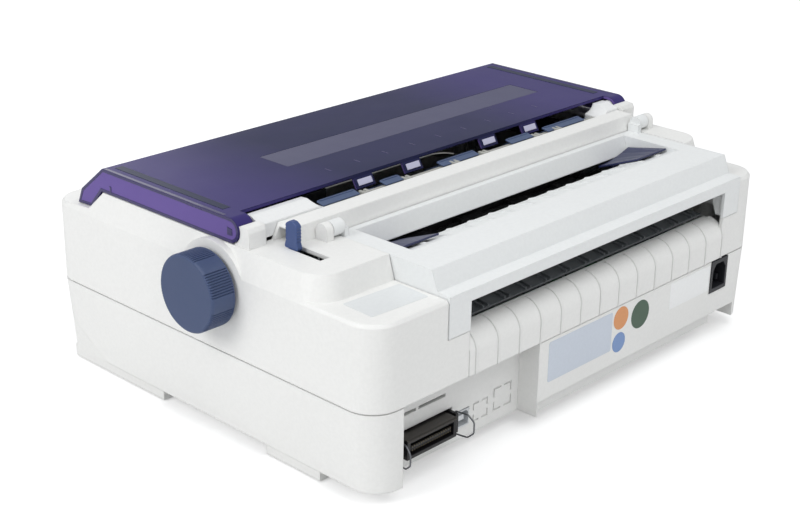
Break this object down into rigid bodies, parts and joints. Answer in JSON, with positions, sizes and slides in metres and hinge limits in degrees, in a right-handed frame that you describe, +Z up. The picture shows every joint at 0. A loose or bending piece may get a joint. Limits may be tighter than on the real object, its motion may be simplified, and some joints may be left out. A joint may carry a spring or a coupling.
{
  "type": "dot matrix printer",
  "caption": "Desktop dot matrix printer with a tinted lid, a hinged rear paper guide, a platen knob, a paper release lever and sockets in the rear.",
  "frame": {"origin": "on the table under the middle of the whole printer", "axes": "+X to the knob side, +Y to the rear with the sockets, +Z up"},
  "size_m": [0.41, 0.313, 0.1495],
  "materials": {
    "shell": "fine matt moulded shell",
    "guide_shell": "fine matt moulded cover",
    "lid_tint": "dark tinted, smooth",
    "lid_frost": "frosted strip",
    "knob_plastic": "blue grey moulded",
    "navy_plastic": "navy moulded",
    "black_plastic": "black moulded",
    "grey_plastic": "grey moulded",
    "panel_plastic": "dark panel",
    "button_plastic": "light moulded",
    "gear_plastic": "natural moulded",
    "rubber": "matt rubber",
    "zinc_steel": "zinc plated sheet",
    "ground_steel": "ground shaft",
    "dark_steel": "dark coated metal",
    "board": "circuit board"
  },
  "bodies": {
    "base": {"lower_case": "shell", "upper_case": "shell", "rubber_feet": "rubber", "case_screws": "zinc_steel", "control_panel": "panel_plastic", "panel_board": "board", "power_switch_body": "black_plastic", "exit_guide": "grey_plastic", "deflector_pads": "knob_plastic", "end_housings": "shell", "base_frame": "zinc_steel", "side_frame_right": "zinc_steel", "side_frame_left": "zinc_steel", "platen_bushes": "black_plastic", "feed_motor": "dark_steel", "carriage_rod": "ground_steel", "carriage_motor": "dark_steel", "timing_belt": "rubber", "ribbon_cartridge": "black_plastic", "ribbon": "black_plastic", "tractor_guide_shaft": "ground_steel", "rear_chute": "dark_steel", "main_board": "board", "power_supply": "board", "power_inlet": "black_plastic", "parallel_connector": "black_plastic", "usb_socket": "zinc_steel"},
    "lid": {"lid": "lid_tint", "lid_strip": "lid_frost"},
    "rear_guide": {"rear_paper_guide": "guide_shell"},
    "edge_guide_right": {"edge_guide_right": "navy_plastic"},
    "edge_guide_left": {"edge_guide_left": "navy_plastic"},
    "platen": {"platen_shaft": "ground_steel", "platen_sleeve": "rubber", "platen_gear": "gear_plastic", "platen_knob": "knob_plastic"},
    "motor_pinion": {"motor_pinion": "ground_steel"},
    "idler_gear": {"idler_gear": "gear_plastic"},
    "pinch_rollers": {"pinch_rollers": "rubber"},
    "carriage": {"carriage": "black_plastic", "print_head": "dark_steel"},
    "drive_pulley": {"drive_pulley": "ground_steel"},
    "idler_pulley": {"idler_pulley": "gear_plastic"},
    "ribbon_knob": {"ribbon_knob": "knob_plastic"},
    "tractor_shaft": {"tractor_drive_shaft": "ground_steel", "tractor_gear": "gear_plastic"},
    "tractor_right": {"tractor_right": "black_plastic"},
    "tractor_left": {"tractor_left": "black_plastic"},
    "flap_right": {"flap_right": "black_plastic"},
    "flap_left": {"flap_left": "black_plastic"},
    "pin_wheel_right": {"pin_wheel_right": "gear_plastic"},
    "pin_wheel_left": {"pin_wheel_left": "gear_plastic"},
    "release_lever": {"release_lever": "navy_plastic"},
    "pause_button": {"pause_button": "button_plastic"},
    "feed_button": {"feed_button": "button_plastic"},
    "load_button": {"load_button": "button_plastic"},
    "tear_button": {"tear_button": "button_plastic"},
    "power_rocker": {"power_rocker": "black_plastic"},
    "bail_right": {"bail_right": "ground_steel"},
    "bail_left": {"bail_left": "ground_steel"}
  },
  "joints": [
    {"name": "lid_hinge", "type": "hinge", "parent": "base", "child": "lid", "pos_m": [-0.01, 0.02198, 0.1385], "axis": [-1, 0, 0], "range_deg": [0, 75]},
    {"name": "rear_guide_hinge", "type": "hinge", "parent": "base", "child": "rear_guide", "pos_m": [-0.01, 0.05527, 0.1355], "axis": [1, 0, 0], "range_deg": [0, 60]},
    {"name": "edge_guide_right_slide", "type": "slide", "parent": "rear_guide", "child": "edge_guide_right", "axis": [1, 0, 0], "range_m": [-0.05, 0.001]},
    {"name": "edge_guide_left_slide", "type": "slide", "parent": "rear_guide", "child": "edge_guide_left", "axis": [1, 0, 0], "range_m": [-0.0008, 0.05]},
    {"name": "platen_turn", "type": "hinge", "parent": "base", "child": "platen", "pos_m": [-0.01, 0.00997, 0.1015], "axis": [1, 0, 0], "continuous": true},
    {"name": "motor_pinion_turn", "type": "hinge", "parent": "base", "child": "motor_pinion", "pos_m": [-0.176, 0.01342, 0.06369], "axis": [1, 0, 0], "continuous": true},
    {"name": "idler_gear_turn", "type": "hinge", "parent": "base", "child": "idler_gear", "pos_m": [-0.176, 0.03247, 0.07469], "axis": [1, 0, 0], "continuous": true},
    {"name": "pinch_roller_turn", "type": "hinge", "parent": "base", "child": "pinch_rollers", "pos_m": [-0.01, 0.02755, 0.09135], "axis": [1, 0, 0], "continuous": true},
    {"name": "carriage_slide", "type": "slide", "parent": "base", "child": "carriage", "axis": [1, 0, 0], "range_m": [-0.224, 0.03]},
    {"name": "drive_pulley_turn", "type": "hinge", "parent": "base", "child": "drive_pulley", "pos_m": [-0.1674, -0.05702, 0.069], "axis": [0, 0, 1], "range_deg": [-2400, 2400]},
    {"name": "idler_pulley_turn", "type": "hinge", "parent": "base", "child": "idler_pulley", "pos_m": [0.1135, -0.05702, 0.069], "axis": [0, 0, 1], "range_deg": [-2400, 2400]},
    {"name": "ribbon_knob_turn", "type": "hinge", "parent": "base", "child": "ribbon_knob", "pos_m": [-0.142, -0.08102, 0.12], "axis": [0, 0, 1], "continuous": true},
    {"name": "tractor_shaft_turn", "type": "hinge", "parent": "base", "child": "tractor_shaft", "pos_m": [-0.01, 0.06707, 0.07998], "axis": [1, 0, 0], "continuous": true},
    {"name": "tractor_right_slide", "type": "slide", "parent": "base", "child": "tractor_right", "axis": [1, 0, 0], "range_m": [-0.06, 0.006]},
    {"name": "tractor_left_slide", "type": "slide", "parent": "base", "child": "tractor_left", "axis": [1, 0, 0], "range_m": [-0.006, 0.06]},
    {"name": "flap_right_hinge", "type": "hinge", "parent": "tractor_right", "child": "flap_right", "pos_m": [0.103, 0.06707, 0.09458], "axis": [0, 1, 0], "range_deg": [0, 90]},
    {"name": "flap_left_hinge", "type": "hinge", "parent": "tractor_left", "child": "flap_left", "pos_m": [-0.157, 0.06707, 0.09458], "axis": [0, -1, 0], "range_deg": [0, 90]},
    {"name": "pin_wheel_right_turn", "type": "hinge", "parent": "tractor_right", "child": "pin_wheel_right", "pos_m": [0.097, 0.06707, 0.07998], "axis": [1, 0, 0], "continuous": true},
    {"name": "pin_wheel_left_turn", "type": "hinge", "parent": "tractor_left", "child": "pin_wheel_left", "pos_m": [-0.151, 0.06707, 0.07998], "axis": [1, 0, 0], "continuous": true},
    {"name": "release_lever_hinge", "type": "hinge", "parent": "base", "child": "release_lever", "pos_m": [0.1569, 0.05597, 0.085], "axis": [-1, 0, 0], "range_deg": [0, 20]},
    {"name": "pause_press", "type": "slide", "parent": "base", "child": "pause_button", "axis": [0, 1, 0], "range_m": [0, 0.0012], "stiffness_N_per_m": 300},
    {"name": "feed_press", "type": "slide", "parent": "base", "child": "feed_button", "axis": [0, 1, 0], "range_m": [0, 0.0012], "stiffness_N_per_m": 300},
    {"name": "load_press", "type": "slide", "parent": "base", "child": "load_button", "axis": [0, 1, 0], "range_m": [0, 0.0012], "stiffness_N_per_m": 300},
    {"name": "tear_press", "type": "slide", "parent": "base", "child": "tear_button", "axis": [0, 1, 0], "range_m": [0, 0.0012], "stiffness_N_per_m": 300},
    {"name": "power_rocker_tip", "type": "hinge", "parent": "base", "child": "power_rocker", "pos_m": [-0.17, -0.14902, 0.092], "axis": [1, 0, 0], "range_deg": [0, 16]},
    {"name": "bail_right_swing", "type": "hinge", "parent": "base", "child": "bail_right", "pos_m": [0.103, 0.13337, 0.02555], "axis": [0, 0, -1], "range_deg": [0, 60]},
    {"name": "bail_left_swing", "type": "hinge", "parent": "base", "child": "bail_left", "pos_m": [0.1535, 0.13337, 0.02555], "axis": [0, 0, 1], "range_deg": [0, 60]}
  ],
  "couplings": [
    {"joint": "motor_pinion_turn", "follows": "platen_turn", "ratio": 2.8571},
    {"joint": "idler_gear_turn", "follows": "platen_turn", "ratio": -1.3333},
    {"joint": "tractor_shaft_turn", "follows": "platen_turn", "ratio": 1},
    {"joint": "pinch_roller_turn", "follows": "platen_turn", "ratio": -3},
    {"joint": "pin_wheel_right_turn", "follows": "platen_turn", "ratio": 1},
    {"joint": "pin_wheel_left_turn", "follows": "platen_turn", "ratio": 1},
    {"joint": "drive_pulley_turn", "follows": "carriage_slide", "rad_per_m": 158.73},
    {"joint": "idler_pulley_turn", "follows": "carriage_slide", "rad_per_m": 158.73}
  ]
}
